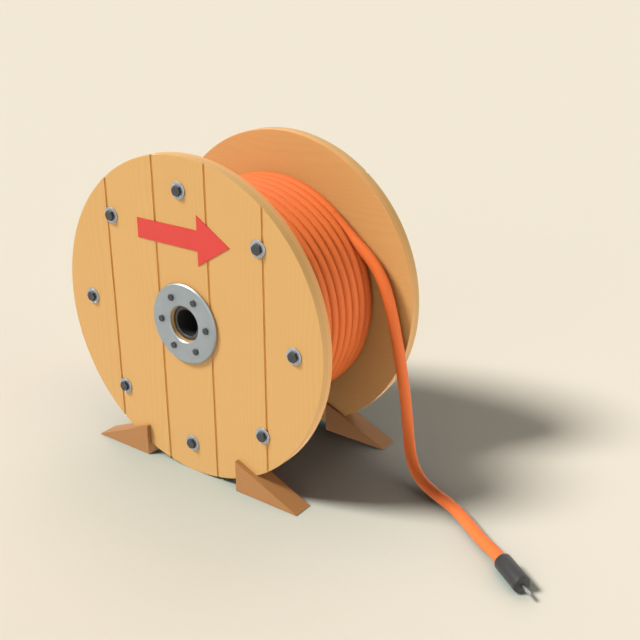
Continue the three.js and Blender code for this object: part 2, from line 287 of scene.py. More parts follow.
def smooth_route(name, points):
    """A curve's data that runs smoothly through the points."""
    curve = bpy.data.curves.new(name, "CURVE")
    curve.dimensions = "3D"
    spline = curve.splines.new("BEZIER")
    spline.bezier_points.add(len(points) - 1)
    for knot, place in zip(spline.bezier_points, points):
        knot.co = place
        knot.handle_left_type = "AUTO"
        knot.handle_right_type = "AUTO"
    spline.resolution_u = 16
    return curve


free_end = grow("free_end", sheathed, {
    "Sides": 28, "Spacing": 0.005, "Sheath": cable_sheath,
}, smooth_route("free_end_route", cable_route))
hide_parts("free_cable")
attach(free_end, "root")


# ---- End cap and conductor ----
# A moulded rubber cap, 32 mm thick and 69 mm long, is pushed over the cut end of the cable and
# keeps the wet out. One bright conductor, 5.5 mm thick, comes 22 mm out of its end.
cap_length = 0.069
cap_edge = 0.004
socket_radius = 0.01155
socket_depth = 0.0140
hole_radius = 0.00305
hole_depth = 0.010
mouth_flare = 0.00055
mouth_depth = 0.0006
conductor_radius = 0.00275
conductor_hidden = 0.0097
conductor_shown = 0.022
conductor_ease = 0.0008
cap_sides = 48
conductor_sides = 24


def creased(piece, angle):
    """The piece, smooth but for its creases."""
    for face in piece.data.polygons:
        face.use_smooth = True
    piece.data.set_sharp_from_angle(angle=math.radians(angle))
    return piece


def finished(name, mesh, material, crease=35):
    """The object for a mesh that is made."""
    data = bpy.data.meshes.new(name)
    mesh.to_mesh(data)
    mesh.free()
    data.materials.append(material)
    return creased(stand(name, data), crease)


def turned_piece(name, profile, sides, middle, axis, material):
    """A profile of (radius, distance) corners turned about an axis. Radius 0 makes a pole."""
    towards = Vector((0, 0, 1)).rotation_difference(axis)
    mesh = bmesh.new()
    rings = []
    for radius, distance in profile:
        if radius == 0:
            rings.append([mesh.verts.new(middle + towards @ Vector((0, 0, distance)))] * sides)
            continue
        ring_verts = []
        for i in range(sides):
            angle = 2 * math.pi * i / sides
            place = Vector((radius * math.cos(angle), radius * math.sin(angle), distance))
            ring_verts.append(mesh.verts.new(middle + towards @ place))
        rings.append(ring_verts)
    pairs = list(zip(rings, rings[1:]))
    if profile[0][0] != 0:
        pairs.append((rings[-1], rings[0]))
    for low, high in pairs:
        for i in range(sides):
            j = (i + 1) % sides
            corners = []
            for vert in (low[i], low[j], high[j], high[i]):
                if vert not in corners:
                    corners.append(vert)
            if len(corners) > 2:
                mesh.faces.new(corners)
    bmesh.ops.recalc_face_normals(mesh, faces=mesh.faces)
    return finished(name, mesh, material)


def rounded(middle, radius, steps, first, last):
    """Points on a round edge from the first angle to the last, as (radius, distance)."""
    points = []
    for i in range(steps + 1):
        angle = math.radians(first + (last - first) * i / steps)
        points.append((middle[0] + radius * math.cos(angle), middle[1] + radius * math.sin(angle)))
    return points


cap_rubber, tree, shader = new_material("cap_rubber")
where = add_node(tree, "ShaderNodeTexCoord").outputs["Object"]
moulding = noise(tree, where, 260.0, detail=4.0)
dust = noise(tree, where, 40.0, detail=3.0)
dusty_black = mixed(tree, dust, (0.011, 0.011, 0.013, 1), (0.024, 0.023, 0.025, 1))
dull = spread(tree, dust, 0.45, 0.65)
coat(tree, shader, dusty_black, dull, moulding, strength=0.25, distance=0.0003)

cap_profile = [
    (0, socket_depth), (socket_radius, socket_depth),
    (socket_radius, mouth_depth), (socket_radius + mouth_flare, 0),
]
cap_profile += rounded((cap_radius - cap_edge, cap_edge), cap_edge, 6, -90, 0)
cap_profile += rounded((cap_radius - cap_edge, cap_length - cap_edge), cap_edge, 6, 0, 90)
cap_profile += [
    (hole_radius + mouth_flare, cap_length), (hole_radius, cap_length - mouth_depth),
    (hole_radius, cap_length - hole_depth), (0, cap_length - hole_depth),
]
end_cap = turned_piece("end_cap", cap_profile, cap_sides, cap_start, cap_direction, cap_rubber)
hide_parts("cable_end_cap")
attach(end_cap, "root")

conductor_metal, tree, shader = new_material("conductor_metal")
where = add_node(tree, "ShaderNodeTexCoord").outputs["Object"]
drawn = add_node(tree, "ShaderNodeMapping", {
    "Vector": where, "Rotation": (0, 0, -cap_turn), "Scale": (60, 3000, 3000),
})
scratches = noise(tree, drawn.outputs[0], 1.0)
tree.links.new(spread(tree, scratches, 0.34, 0.46), shader.inputs["Roughness"])
shader.inputs["Base Color"].default_value = (0.30, 0.31, 0.32, 1)
shader.inputs["Metallic"].default_value = 1.0

conductor_start = cap_length - conductor_hidden
conductor_end = cap_length + conductor_shown
conductor_profile = [
    (0, conductor_start), (conductor_radius, conductor_start),
    (conductor_radius, conductor_end - conductor_ease),
    (conductor_radius - conductor_ease, conductor_end), (0, conductor_end),
]
wire = turned_piece(
    "wire", conductor_profile, conductor_sides, cap_start, cap_direction, conductor_metal
)
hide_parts("conductor")
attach(wire, "root")


# ---- Winding ----
# The rest of the cable, wound in four close layers on the barrel. Each turn lies straight round
# the drum and steps over to the next place low on the left, as it does on a machine-wound drum.
layer_turns = 11
crossover_share = 0.11
crossover_end = math.radians(215)
layer_rise = cable_diameter * math.sin(math.pi / 3)
hidden_steps = 60


def eased(tree, value, start, end, low=0.0, high=1.0):
    """How far the value is from start to end, slow at both, from low to high."""
    return add_node(tree, "ShaderNodeMapRange", {
        "Value": value, "From Min": start, "From Max": end, "To Min": low, "To Max": high,
    }, interpolation_type="SMOOTHSTEP").outputs[0]


turns_tree, given, result = new_tree("close_turns", "GeometryNodeTree", {
    "Turns From": 0.0,
    "Turns To": float(layer_turns),
    "Steps": 1320,
    "First Place": -last_turn_y,
    "Pitch": cable_diameter,
    "Radius": last_layer_radius,
    "Axle Height": axle_height,
    "Start Angle": crossover_end,
    "Crossover Share": crossover_share,
    "Rise At Start": 0.0,
    "Dive At End": 0.0,
    "Diameter": cable_diameter,
    "Sides": 20,
    "Spacing": 0.012,
    "Sheath": "Material",
}, {"Winding": "Geometry"})


def turns_maths(operation, *values):
    """The result of one Math node in the tree of the turns."""
    return maths(turns_tree, operation, *values)


points = add_node(turns_tree, "GeometryNodeMeshLine", {
    "Count": turns_maths("ADD", given["Steps"], 1),
})
step = add_node(turns_tree, "GeometryNodeInputIndex")
progress = turns_maths("DIVIDE", step.outputs[0], given["Steps"])
span = turns_maths("SUBTRACT", given["Turns To"], given["Turns From"])
turn = turns_maths("MULTIPLY_ADD", progress, span, given["Turns From"])
straight_share = turns_maths("SUBTRACT", 1.0, given["Crossover Share"])
crossing = eased(turns_tree, turns_maths("FRACT", turn), straight_share, 1.0)
places_over = turns_maths("ADD", turns_maths("FLOOR", turn), crossing)
across = turns_maths("MULTIPLY_ADD", places_over, given["Pitch"], given["First Place"])
since_start = turns_maths("SUBTRACT", turn, given["Turns From"])
until_end = turns_maths("SUBTRACT", given["Turns To"], turn)
sunk = turns_maths("ADD", *[
    eased(turns_tree, turns_away, 0.0, given["Crossover Share"], given[depth], 0.0)
    for turns_away, depth in [(since_start, "Rise At Start"), (until_end, "Dive At End")]
])
out = turns_maths("SUBTRACT", given["Radius"], sunk)
angle = turns_maths("MULTIPLY_ADD", turn, -2 * math.pi, given["Start Angle"])
place = add_node(turns_tree, "ShaderNodeCombineXYZ", {
    "X": turns_maths("MULTIPLY", out, turns_maths("COSINE", angle)),
    "Y": across,
    "Z": turns_maths("MULTIPLY_ADD", out, turns_maths("SINE", angle), given["Axle Height"]),
})
placed = add_node(turns_tree, "GeometryNodeSetPosition", {
    "Geometry": points.outputs[0], "Position": place.outputs[0],
})
route = add_node(turns_tree, "GeometryNodeMeshToCurve", {"Mesh": placed.outputs[0]})
covered = add_node(turns_tree, "GeometryNodeGroup", {
    "Route": route.outputs[0],
    **{label: given[label] for label in ("Diameter", "Sides", "Spacing", "Sheath")},
}, node_tree=sheathed)
put_out(turns_tree, result, covered.outputs[0], given["Sheath"])

# The last layer, whose last turn is whole below the place where the free cable leaves it.
exit_turn = layer_turns - 1 + (crossover_end - departure) / (2 * math.pi)
full_layer = {"First Place": -last_turn_y, "Pitch": cable_diameter}
nested_layer = {"First Place": last_turn_y - cable_radius, "Pitch": -cable_diameter}
layers = [
    {**full_layer, "Turns To": exit_turn, "Steps": 1400, "Rise At Start": layer_rise},
    {
        "First Place": last_turn_y, "Pitch": 0.0, "Turns From": exit_turn,
        "Turns To": float(layer_turns), "Steps": 80, "Dive At End": layer_rise,
    },
]
# The three layers below it, which hardly show. Every other one lies in its neighbours' valleys.
for below, layer in [(1, nested_layer), (2, full_layer), (3, nested_layer)]:
    whole = layer_turns if layer is full_layer else layer_turns - 1
    layers.append({
        **layer, "Turns To": float(whole), "Radius": last_layer_radius - below * layer_rise,
        "Steps": hidden_steps * whole, "Sides": 10, "Spacing": 0.02,
    })

winding_tree, given, result = new_tree("cable_winding", "GeometryNodeTree", {
    "Sheath": "Material",
}, {"Winding": "Geometry"})
all_layers = add_node(winding_tree, "GeometryNodeJoinGeometry")
for layer in layers:
    one_layer = add_node(winding_tree, "GeometryNodeGroup", {
        "Sheath": given["Sheath"], **layer,
    }, node_tree=turns_tree)
    winding_tree.links.new(one_layer.outputs[0], all_layers.inputs[0])
put_out(winding_tree, result, all_layers.outputs[0], given["Sheath"])
wound_cable = grow("wound_cable", winding_tree, {"Sheath": cable_sheath})
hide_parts("cable_winding")
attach(wound_cable, "root")


# ---- Flanges ----
# Each flange is two layers of softwood, nailed and clamped together. Five upright boards
# 126 mm wide make the outside, with an open joint between them. A round lining backs them.
flange_radius = axle_height
outer_face = 0.159
board_thickness = 0.014
flange_thickness = 0.0264
board_width = 0.126
board_count = 5
bore_radius = 0.03442
joint_half_width = 0.00275
joint_depth = 0.003
seam = 0.0001
edge_round = 0.0010
edge_hold = 0.0005
rim_points = 72
joint_end_points = 24
bore_points = 64
lining_sides = 180

# The wood: planed softwood. Each board is cut at its own distance from the heart of the tree, so
# its rings and fibres differ from the next one's. The fibres run along Z.
ring_width = 0.0042
ring_wander = 1.2
heart_aside = 0.055
heart_deep = 0.010
chance_aside = 0.08
chance_deep = 0.04
bow_aside = 0.030
bow_deep = 0.020
bow_rate = 1.6
seed_step = 1.73
seed_shift = 3.1
fibre_fineness = (700.0, 700.0, 14.0)
streak_fineness = (28.0, 28.0, 2.2)
ring_share = 0.50
fibre_share = 0.30
streak_share = 0.18
tint_share = 0.35
wood_grain, given, result = new_tree("wood_grain", "ShaderNodeTree", {
    "Place": "Vector",
    "Board Width": board_width,
    "Ring Width": ring_width,
    "Seed": 0.0,
    "Light Wood": (0.8, 0.45, 0.16, 1),
    "Dark Wood": (0.6, 0.3, 0.1, 1),
    "Contrast": 0.35,
}, {"Color": "Color", "Roughness": "Float", "Height": "Float"})


def grain_maths(operation, *values):
    """The result of one Math node in the tree of the grain."""
    return maths(wood_grain, operation, *values)


def away(tree, first, second):
    """How far a place is from where both measures are 0."""
    squares = [maths(tree, "POWER", measure, 2.0) for measure in (first, second)]
    return maths(tree, "SQRT", maths(tree, "ADD", *squares))


def drawn_out(tree, place, fineness, detail=2.0):
    """Noise that is fine across the wood and long along it."""
    finer = add_node(tree, "ShaderNodeVectorMath", {0: place, 1: fineness}, operation="MULTIPLY")
    return noise(tree, finer.outputs[0], 1.0, detail)


part = add_node(wood_grain, "ShaderNodeSeparateXYZ", {0: given["Place"]})
across_wood, deep_wood, along_wood = part.outputs
board_number = grain_maths("ROUND", grain_maths("DIVIDE", across_wood, given["Board Width"]))
board_seed = grain_maths("MULTIPLY_ADD", board_number, seed_step, given["Seed"])
chance = add_node(wood_grain, "ShaderNodeTexWhiteNoise", {"W": board_seed}, noise_dimensions="1D")
chances = add_node(wood_grain, "ShaderNodeSeparateColor", {0: chance.outputs["Color"]})
along_far = grain_maths("MULTIPLY_ADD", board_seed, seed_shift, along_wood)
bow = add_node(wood_grain, "ShaderNodeTexNoise", {
    "W": grain_maths("MULTIPLY", along_far, bow_rate), "Scale": 1.0, "Detail": 1.0,
}, noise_dimensions="1D").outputs["Fac"]
board_middle = grain_maths("MULTIPLY", board_number, given["Board Width"])
off_middle = grain_maths("SUBTRACT", across_wood, board_middle)
bowed_aside = grain_maths("MULTIPLY_ADD", bow, bow_aside, heart_aside)
bowed_deep = grain_maths("MULTIPLY_ADD", bow, bow_deep, heart_deep)
heart_side = grain_maths("MULTIPLY_ADD", chances.outputs[0], chance_aside, bowed_aside)
heart_depth = grain_maths("MULTIPLY_ADD", chances.outputs[1], chance_deep, bowed_deep)
from_heart = away(
    wood_grain,
    grain_maths("SUBTRACT", off_middle, heart_side),
    grain_maths("ADD", grain_maths("ABSOLUTE", deep_wood), heart_depth),
)
uneven = noise(wood_grain, given["Place"], 7.0)
in_ring = grain_maths("FRACT", grain_maths(
    "ADD",
    grain_maths("DIVIDE", from_heart, given["Ring Width"]),
    grain_maths("MULTIPLY", uneven, ring_wander),
))
late_wood = grain_maths(
    "MULTIPLY", eased(wood_grain, in_ring, 0.25, 0.88), eased(wood_grain, in_ring, 1.0, 0.90)
)
fibres = drawn_out(wood_grain, given["Place"], fibre_fineness, detail=3.0)
streaks = drawn_out(wood_grain, given["Place"], streak_fineness)
figure = grain_maths(
    "ADD",
    grain_maths("MULTIPLY", late_wood, ring_share),
    grain_maths(
        "ADD",
        grain_maths("MULTIPLY", fibres, fibre_share),
        grain_maths("MULTIPLY", streaks, streak_share),
    ),
)
off_tint = grain_maths("SUBTRACT", chances.outputs[2], 0.5)
board_tint = grain_maths("MULTIPLY", off_tint, tint_share)
darker = grain_maths("MULTIPLY", grain_maths("ADD", figure, board_tint), given["Contrast"])
for label, value in [
    ("Color", mixed(wood_grain, darker, given["Light Wood"], given["Dark Wood"])),
    ("Roughness", grain_maths("MULTIPLY_ADD", figure, 0.16, 0.50)),
    ("Height", grain_maths("ADD", grain_maths("MULTIPLY", late_wood, 0.4), fibres)),
]:
    wood_grain.links.new(value, result[label])


def wooden(name, light, dark, contrast, seed, turn_grain=(0, 0, 0), width=board_width):
    """A wood material, its tree, shader and grain. turn_grain lays the fibres another way."""
    material, tree, shader = new_material(name)
    grain_place = add_node(tree, "ShaderNodeMapping", {
        "Vector": add_node(tree, "ShaderNodeTexCoord").outputs["Object"], "Rotation": turn_grain,
    }, vector_type="TEXTURE")
    grain = add_node(tree, "ShaderNodeGroup", {
        "Place": grain_place.outputs[0],
        "Board Width": width,
        "Seed": seed,
        "Light Wood": light,
        "Dark Wood": dark,
        "Contrast": contrast,
    }, node_tree=wood_grain).outputs
    coat(
        tree, shader, grain["Color"], grain["Roughness"], grain["Height"],
        strength=0.15, distance=0.0004,
    )
    shader.inputs["Specular IOR Level"].default_value = 0.35
    return material, tree, shader, grain


# The wood in the open joints between the boards is painted brighter: painted light for the bounce.
board_wood, tree, shader, grain = wooden(
    "board_wood", (0.64, 0.366, 0.126, 1), (0.485, 0.246, 0.072, 1), contrast=0.16, seed=3.0
)
where = add_node(tree, "ShaderNodeTexCoord").outputs["Object"]
spot = add_node(tree, "ShaderNodeSeparateXYZ", {0: where})
sunk_depth = maths(tree, "SUBTRACT", outer_face, maths(tree, "ABSOLUTE", spot.outputs["Y"]))
from_edge = maths(tree, "ADD", spot.outputs["X"], board_width * board_count / 2)
from_joint = maths(tree, "PINGPONG", from_edge, board_width / 2)
from_axle = away(tree, spot.outputs["X"], maths(tree, "SUBTRACT", spot.outputs["Z"], axle_height))
# Painted light in the joints: at most this share of the brighter colour, deep in a joint.
painted_joint_light_share = 0.6
for measure, none_here, full_here in [
    (sunk_depth, 0.0002, 0.0012), (from_joint, 0.0036, 0.0029), (from_axle, 0.3146, 0.3142)
]:
    joint_light_mask = eased(tree, measure, none_here, full_here)
    painted_joint_light_share = maths(tree, "MULTIPLY", joint_light_mask, painted_joint_light_share)
# The joints' wood is painted brighter, in place of the light bounced into them.
painted_joint_light_wood = mixed(tree, painted_joint_light_share, grain["Color"], (0.95, 0.53, 0.16, 1))
tree.links.new(painted_joint_light_wood, shader.inputs["Base Color"])


def on_axle(y):
    """The place on the drum's axis that far from its middle."""
    return Vector((0, y, axle_height))


def arc(radius, first, last, count):
    """Points on a circle round the axle, in X and Z."""
    points = []
    for i in range(count + 1):
        angle = first + (last - first) * i / count
        points.append((radius * math.cos(angle), axle_height + radius * math.sin(angle)))
    return points


def board_outline(left, right, joint_inset, rim_inset):
    """The outline of one board between two joints. A joint that isn't there is None."""
    radius = flange_radius - rim_inset
    if left is None:
        corner = math.acos((right - joint_inset) / radius)
        return arc(radius, corner, 2 * math.pi - corner, rim_points)
    start = math.acos((left + joint_inset) / radius)
    if right is None:
        return arc(radius, -start, start, rim_points)
    end = math.acos((right - joint_inset) / radius)
    top = arc(radius, start, end, joint_end_points)
    return top + arc(radius, -end, -start, joint_end_points)


def bridge(mesh, low, high):
    """Faces between two closed loops of as many points."""
    for i in range(len(low)):
        j = (i + 1) % len(low)
        mesh.faces.new((low[i], low[j], high[j], high[i]))


def flange_board(name, side, left, right, has_bore):
    """One board: eased edges, a step at each joint, and the bore if it is the middle one."""
    mesh = bmesh.new()
    ease = edge_round * (1 - math.sqrt(0.5))
    half = joint_half_width
    hold = edge_round + edge_hold
    # How deep, and how far in from the joint, from the rim and from the bore.
    stack = [
        (0, half + hold, hold, 2 * edge_round),
        (0, half + edge_round, edge_round, edge_round),
        (ease, half + ease, ease, ease),
        (edge_round, half, 0, 0),
        (joint_depth, half, 0, 0),
        (joint_depth, seam, 0, 0),
        (board_thickness, seam, 0, 0),
    ]
    outer, bores = [], []
    for depth, joint_inset, rim_inset, bore_inset in stack:
        y = side * (outer_face - depth)
        outline = board_outline(left, right, joint_inset, rim_inset)
        outer.append([mesh.verts.new((x, y, z)) for x, z in outline])
        if has_bore:
            hole = arc(bore_radius + bore_inset, 0, 2 * math.pi, bore_points)[:-1]
            bores.append([mesh.verts.new((x, y, z)) for x, z in hole])
    for loops in (outer, bores):
        for low, high in zip(loops, loops[1:]):
            bridge(mesh, low, high)
    for end in (0, -1):
        if not has_bore:
            mesh.faces.new(outer[end])
            continue
        edges = []
        for loop in (outer[end], bores[end]):
            for i in range(len(loop)):
                edges.append(mesh.edges.get((loop[i], loop[(i + 1) % len(loop)])))
        bmesh.ops.triangle_fill(mesh, use_beauty=True, edges=edges)
    bmesh.ops.remove_doubles(mesh, verts=mesh.verts, dist=0.00002)
    bmesh.ops.recalc_face_normals(mesh, faces=mesh.faces)
    return finished(name, mesh, board_wood)


for side, label in ((-1, "front"), (1, "rear")):
    for i in range(board_count):
        left = None if i == 0 else (i - board_count / 2) * board_width
        right = None if i == board_count - 1 else (i + 1 - board_count / 2) * board_width
        plank = flange_board(f"{label}_plank_{i + 1}", side, left, right, i == 2)
        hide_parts(f"{label}_board_{i + 1}")
        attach(plank, "root")

# Same softwood as the boards, painted redder: painted light, the warm light off the orange winding.
lining_wood = wooden(
    "lining_wood", (0.728, 0.378, 0.125, 1), (0.547, 0.254, 0.071, 1), contrast=0.16, seed=11.0,
    turn_grain=(0, math.pi / 2, 0),
)[0]
round_middle = (flange_radius - edge_round, flange_thickness - edge_round)
lining_profile = [
    (bore_radius, board_thickness),
    (flange_radius, board_thickness),
    (flange_radius, round_middle[1] - edge_hold),
    *rounded(round_middle, edge_round, 3, 0, 90),
    (round_middle[0] - edge_hold, flange_thickness),
    (bore_radius, flange_thickness),
]
for side, label in ((-1, "front"), (1, "rear")):
    backing = turned_piece(
        f"{label}_backing", lining_profile, lining_sides,
        on_axle(side * outer_face), Vector((0, -side, 0)), lining_wood,
    )
    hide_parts(f"{label}_lining")
    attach(backing, "root")


# ---- Barrel ----
# A plain tube of softwood between the flanges, 304 mm thick, which the cable is wound on. Only
# its ends show, through the gap beside the outermost turns.
barrel_wood = wooden(
    "barrel_wood", (0.62, 0.33, 0.11, 1), (0.40, 0.18, 0.05, 1), contrast=0.35, seed=23.0,
    turn_grain=(math.pi / 2, 0, 0), width=0.09,
)[0]
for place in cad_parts["barrel"].material_slots:
    place.material = barrel_wood


# ---- Coach screws ----
# Eight screws in each flange hold its layers together. Each has a forged six-sided head, blacked,
# 18 mm across, and stands on a round zinc-plated washer 32.5 mm wide.
screw_circle = 0.2529
head_width = 0.018
head_height = 0.006
head_chamfer = 0.94
shank_diameter = 0.010
shank_length = 0.0245
shank_lap = 0.0005
washer_diameter = 0.0325
washer_hole = 0.0108
washer_thickness = 0.0020
washer_edge = 0.0005


def ring_inputs(face):
    """The inputs that a ring of fixings has, whatever they are."""
    return {
        "Count": 8,
        "Circle Radius": screw_circle,
        "Axle Height": axle_height,
        "Face": face,
        "Side": -1.0,
        "Steel": "Material",
    }


def raised(tree, geometry, height):
    """The geometry, moved up that far."""
    move = add_node(tree, "ShaderNodeCombineXYZ", {"Z": height})
    return add_node(tree, "GeometryNodeTransform", {
        "Geometry": geometry, "Translation": move.outputs[0],
    }).outputs[0]


def stand_round(tree, given, result, fixing, own_turns=None):
    """Stands the fixing in a circle round the axle, upright on the face of a flange."""
    circle = add_node(tree, "GeometryNodeMeshCircle", {
        "Vertices": given["Count"], "Radius": given["Circle Radius"],
    })
    ring = add_node(tree, "GeometryNodeInstanceOnPoints", {
        "Points": circle.outputs[0], "Instance": fixing,
    })
    if own_turns is not None:
        tree.links.new(own_turns, ring.inputs["Rotation"])
    tilt = add_node(tree, "ShaderNodeCombineXYZ", {
        "X": maths(tree, "MULTIPLY", given["Side"], -math.pi / 2),
    })
    at_face = add_node(tree, "ShaderNodeCombineXYZ", {
        "Y": maths(tree, "MULTIPLY", given["Side"], given["Face"]),
        "Z": given["Axle Height"],
    })
    turned_up = add_node(tree, "GeometryNodeTransform", {
        "Geometry": ring.outputs[0],
        "Translation": at_face.outputs[0],
        "Rotation": tilt.outputs[0],
    })
    put_out(tree, result, turned_up.outputs[0], given["Steel"])


# A head is a six-sided prism that a cone has turned the top corners off.
head_tree, given, result = new_tree("screw_ring", "GeometryNodeTree", {
    **ring_inputs(outer_face + washer_thickness),
    "Across Flats": head_width,
    "Head Height": head_height,
    "Shank Diameter": shank_diameter,
    "Shank Length": shank_length,
    "Seed": 4,
}, {"Screws": "Geometry"})
half_flats = maths(head_tree, "MULTIPLY", given["Across Flats"], 0.5)
turned_radius = maths(head_tree, "MULTIPLY", half_flats, head_chamfer)
prism = add_node(head_tree, "GeometryNodeMeshCylinder", {
    "Vertices": 6,
    "Radius": maths(head_tree, "MULTIPLY", half_flats, 2 / math.sqrt(3)),
    "Depth": given["Head Height"],
})
turned_off = add_node(head_tree, "GeometryNodeMeshCone", {
    "Vertices": 48,
    "Radius Top": turned_radius,
    "Radius Bottom": maths(
        head_tree, "MULTIPLY_ADD", given["Head Height"], math.sqrt(3), turned_radius
    ),
    "Depth": given["Head Height"],
})
half_height = maths(head_tree, "MULTIPLY", given["Head Height"], 0.5)
head = add_node(head_tree, "GeometryNodeMeshBoolean", operation="INTERSECT", solver="EXACT")
head_tree.links.new(raised(head_tree, prism.outputs[0], half_height), head.inputs[1])
head_tree.links.new(turned_off.outputs[0], head.inputs[1])
shank = add_node(head_tree, "GeometryNodeMeshCylinder", {
    "Vertices": 20,
    "Radius": maths(head_tree, "MULTIPLY", given["Shank Diameter"], 0.5),
    "Depth": given["Shank Length"],
})
down = maths(head_tree, "MULTIPLY_ADD", given["Shank Length"], -0.5, shank_lap)
whole_screw = add_node(head_tree, "GeometryNodeMeshBoolean", operation="UNION", solver="EXACT")
head_tree.links.new(head.outputs[0], whole_screw.inputs[1])
head_tree.links.new(raised(head_tree, shank.outputs[0], down), whole_screw.inputs[1])
own_turn = add_node(head_tree, "FunctionNodeRandomValue", {
    2: 0.0, 3: math.pi / 3, "Seed": given["Seed"],
}, data_type="FLOAT")
own_rotation = add_node(head_tree, "ShaderNodeCombineXYZ", {"Z": own_turn.outputs[1]})
stand_round(head_tree, given, result, whole_screw.outputs[0], own_rotation.outputs[0])

washer_tree, given, result = new_tree("washer_ring", "GeometryNodeTree", {
    **ring_inputs(outer_face),
    "Diameter": washer_diameter,
    "Hole Diameter": washer_hole,
    "Thickness": washer_thickness,
    "Edge": washer_edge,
}, {"Washers": "Geometry"})
both = maths(washer_tree, "ADD", given["Diameter"], given["Hole Diameter"])
between = maths(washer_tree, "SUBTRACT", given["Diameter"], given["Hole Diameter"])
middle_line = add_node(washer_tree, "GeometryNodeCurvePrimitiveCircle", {
    "Resolution": 40, "Radius": maths(washer_tree, "MULTIPLY", both, 0.25),
})
upright_line = add_node(
    washer_tree, "GeometryNodeSetCurveNormal", {"Curve": middle_line.outputs[0]}, mode="Z_UP"
)
section = add_node(washer_tree, "GeometryNodeCurvePrimitiveQuadrilateral", {
    "Width": maths(washer_tree, "MULTIPLY", between, 0.5), "Height": given["Thickness"],
})
round_section = add_node(washer_tree, "GeometryNodeFilletCurve", {
    "Curve": section.outputs[0], "Radius": given["Edge"], "Count": 2,
}, mode="POLY")
swept = add_node(washer_tree, "GeometryNodeCurveToMesh", {
    "Curve": upright_line.outputs[0], "Profile Curve": round_section.outputs[0],
})
half_thickness = maths(washer_tree, "MULTIPLY", given["Thickness"], 0.5)
stand_round(washer_tree, given, result, raised(washer_tree, swept.outputs[0], half_thickness))

# Blotches of wear, which are duller and rougher, and small pits.
steel_wear, given, result = new_tree("steel_wear", "ShaderNodeTree", {
    "Place": "Vector",
    "Scale": 120.0,
    "Clean": (0.5, 0.5, 0.5, 1),
    "Dull": (0.4, 0.4, 0.4, 1),
    "Smooth": 0.3,
    "Rough": 0.5,
}, {"Color": "Color", "Roughness": "Float", "Height": "Float"})
blotches = noise(steel_wear, given["Place"], given["Scale"], detail=4.0)
worn_rough = add_node(steel_wear, "ShaderNodeMapRange", {
    "Value": blotches, "From Min": 0.3, "From Max": 0.7,
    "To Min": given["Smooth"], "To Max": given["Rough"],
})
pit_scale = maths(steel_wear, "MULTIPLY", given["Scale"], 9.0)
for label, value in [
    ("Color", mixed(steel_wear, blotches, given["Clean"], given["Dull"])),
    ("Roughness", worn_rough.outputs[0]),
    ("Height", noise(steel_wear, given["Place"], pit_scale)),
]:
    steel_wear.links.new(value, result[label])


def steel(name, clean, dull, smooth, rough, metallic, scale=120.0):
    """A steel material with that wear."""
    material, tree, shader = new_material(name)
    wear = add_node(tree, "ShaderNodeGroup", {
        "Place": add_node(tree, "ShaderNodeTexCoord").outputs["Object"],
        "Scale": scale,
        "Clean": clean,
        "Dull": dull,
        "Smooth": smooth,
        "Rough": rough,
    }, node_tree=steel_wear).outputs
    coat(
        tree, shader, wear["Color"], wear["Roughness"], wear["Height"],
        strength=0.04, distance=0.0002,
    )
    shader.inputs["Metallic"].default_value = metallic
    return material


screw_steel = steel(
    "screw_steel", (0.036, 0.039, 0.043, 1), (0.058, 0.060, 0.064, 1),
    smooth=0.35, rough=0.55, metallic=0.3,
)
washer_steel = steel(
    "washer_steel", (0.42, 0.46, 0.51, 1), (0.33, 0.36, 0.40, 1),
    smooth=0.36, rough=0.44, metallic=0.7,
)
for side, label in ((-1, "front"), (1, "rear")):
    washers = creased(grow(f"{label}_washers", washer_tree, {
        "Side": float(side), "Steel": washer_steel,
    }), angle=50)
    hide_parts(*[f"{label}_washer_{i + 1}" for i in range(8)])
    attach(washers, "root")
    screws = creased(grow(f"{label}_coach_screws", head_tree, {
        "Side": float(side), "Steel": screw_steel, "Seed": 4 + side,
    }), angle=20)
    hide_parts(*[f"{label}_coach_screw_{i + 1}" for i in range(8)])
    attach(screws, "root")


# ---- Hub plates ----
# A round steel plate on each flange, 158 mm wide, keeps the spindle from wearing the wood. It
# lies on a thin packing ring of plywood, its edges are turned to a bevel, and six small screws
# go through both.
plate_inner = 0.03496
plate_outer = 0.079
plate_thickness = 0.0033
plate_chamfer = 0.0023
chamfer_round = 0.0006
packing_outer = 0.078
packing_thickness = 0.0032
plate_sides = 128

plate_steel = steel(
    "plate_steel", (0.344, 0.388, 0.424, 1), (0.295, 0.340, 0.375, 1),
    smooth=0.38, rough=0.44, metallic=0.75, scale=45.0,
)
bevel_in = plate_chamfer + chamfer_round * (math.sqrt(2) - 1)
low_corner = plate_thickness - bevel_in
high_corner = plate_thickness - chamfer_round
plate_profile = [(plate_inner, 0), (plate_outer, 0)]
for radius, distance, first in [
    (plate_outer - chamfer_round, low_corner, 0), (plate_outer - bevel_in, high_corner, 45),
    (plate_inner + bevel_in, high_corner, 90), (plate_inner + chamfer_round, low_corner, 135),
]:
    plate_profile += rounded((radius, distance), chamfer_round, 3, first, first + 45)
packing_profile = [
    (plate_inner, 0), (packing_outer, 0),
    (packing_outer, packing_thickness), (plate_inner, packing_thickness),
]
for side, label in ((-1, "front"), (1, "rear")):
    outwards = Vector((0, side, 0))
    on_face = on_axle(side * outer_face)
    packing = turned_piece(
        f"{label}_packing", packing_profile, plate_sides, on_face, outwards, board_wood
    )
    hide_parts(f"{label}_hub_packing")
    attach(packing, "root")
    plate = turned_piece(
        f"{label}_plate", plate_profile, plate_sides, on_face + outwards * packing_thickness,
        outwards, plate_steel,
    )
    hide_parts(f"{label}_hub_plate")
    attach(plate, "root")
    plate_screws = creased(grow(f"{label}_plate_screws", head_tree, {
        "Count": 6, "Circle Radius": 0.0555,
        "Face": outer_face + packing_thickness + plate_thickness,
        "Side": float(side), "Across Flats": 0.0118, "Head Height": 0.0030,
        "Shank Diameter": 0.005, "Shank Length": 0.020, "Seed": 9 + side, "Steel": screw_steel,
    }), angle=20)
    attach(plate_screws, "root")


